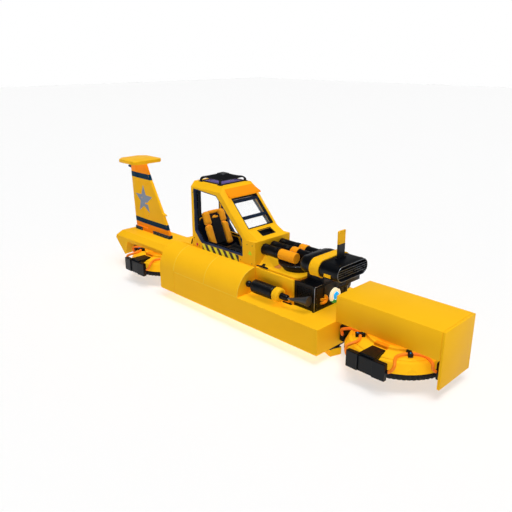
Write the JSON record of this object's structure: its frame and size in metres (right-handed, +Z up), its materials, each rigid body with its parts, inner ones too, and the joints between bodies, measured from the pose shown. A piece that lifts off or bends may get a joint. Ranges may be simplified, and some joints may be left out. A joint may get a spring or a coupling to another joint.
{
  "type": "single-seat hovercraft",
  "caption": "Long low yellow hovercraft: flat decked hull, open-sided cab, intake duct, T-tail fin with rudder, and round hover pads under bow and tail.",
  "frame": {"origin": "on the floor under the middle of the craft's length and beam, at the soles of its landing feet", "axes": "-Y towards the bow, -X towards starboard, +Z up"},
  "size_m": [2.08, 9.11, 2.8],
  "materials": {
    "yellow_paint": "satin yellow paint",
    "orange_paint": "satin orange paint",
    "black_metal": "semi-gloss black paint",
    "grey_metal": "dark anodised",
    "black_rubber": "matt black rubber",
    "clear_glass": "clear laminated glass",
    "lilac_glass": "lilac tinted glass",
    "cyan_lens": "clear cyan lens",
    "seat_fabric": "orange coated seat fabric with a black centre"
  },
  "bodies": {
    "craft": {"hull": "yellow_paint", "skid_front": "yellow_paint", "skid_rear": "yellow_paint", "side_pod_right": "yellow_paint", "side_pod_left": "yellow_paint", "fore_body": "yellow_paint", "duct_band": "yellow_paint", "cab_side_right": "yellow_paint", "cab_side_left": "yellow_paint", "cab_nose": "yellow_paint", "windscreen_frame": "yellow_paint", "cab_roof": "yellow_paint", "cab_rear_wall": "yellow_paint", "tail_deck": "yellow_paint", "rear_cowl": "yellow_paint", "fin": "yellow_paint", "stabiliser": "yellow_paint", "nose_box": "yellow_paint", "bow_plate": "yellow_paint", "front_pad_shell": "yellow_paint", "rear_pad_shell": "yellow_paint", "orange_sleeve": "orange_paint", "visor": "orange_paint", "blower_housing": "black_metal", "machinery_box": "black_metal", "air_tube_right": "black_metal", "air_tube_middle": "black_metal", "air_tube_left": "black_metal", "intake_duct": "black_metal", "sight_blade": "black_metal", "duct_cradle": "black_metal", "deck_strut_right": "black_metal", "deck_strut_left": "black_metal", "screen_guard": "black_metal", "roof_guard": "black_metal", "dashboard": "black_metal", "seat_frame": "black_metal", "fin_foot_front": "black_metal", "fin_foot_rear": "black_metal", "intake_grille": "grey_metal", "cab_floor": "black_rubber", "front_pad_skirt": "black_rubber", "rear_pad_skirt": "black_rubber", "windscreen_glass": "clear_glass", "skylight": "lilac_glass", "lamp": "cyan_lens", "seat_cushion": "seat_fabric", "seat_back": "seat_fabric"},
    "steering": {"steering_wheel": "black_rubber"},
    "rudder": {"rudder": "yellow_paint"},
    "front_fan": {"front_lift_fan": "grey_metal"},
    "rear_fan": {"rear_lift_fan": "grey_metal"}
  },
  "joints": [
    {"name": "rudder_turn", "type": "hinge", "parent": "craft", "child": "rudder", "pos_m": [0, 3.95, 1.55], "axis": [0, 0.2118, 0.9773], "range_deg": [-25, 25]},
    {"name": "steering_turn", "type": "hinge", "parent": "craft", "child": "steering", "pos_m": [0, -0.005, 1.5], "axis": [0, 0.829, 0.5593], "range_deg": [-100, 100]},
    {"name": "front_fan_spin", "type": "hinge", "parent": "craft", "child": "front_fan", "pos_m": [0, -3.505, 0.43], "axis": [0, 0, 1], "continuous": true},
    {"name": "rear_fan_spin", "type": "hinge", "parent": "craft", "child": "rear_fan", "pos_m": [0, 2.995, 0.43], "axis": [0, 0, 1], "continuous": true}
  ],
  "couplings": [
    {"joint": "steering_turn", "follows": "rudder_turn", "ratio": -4}
  ]
}
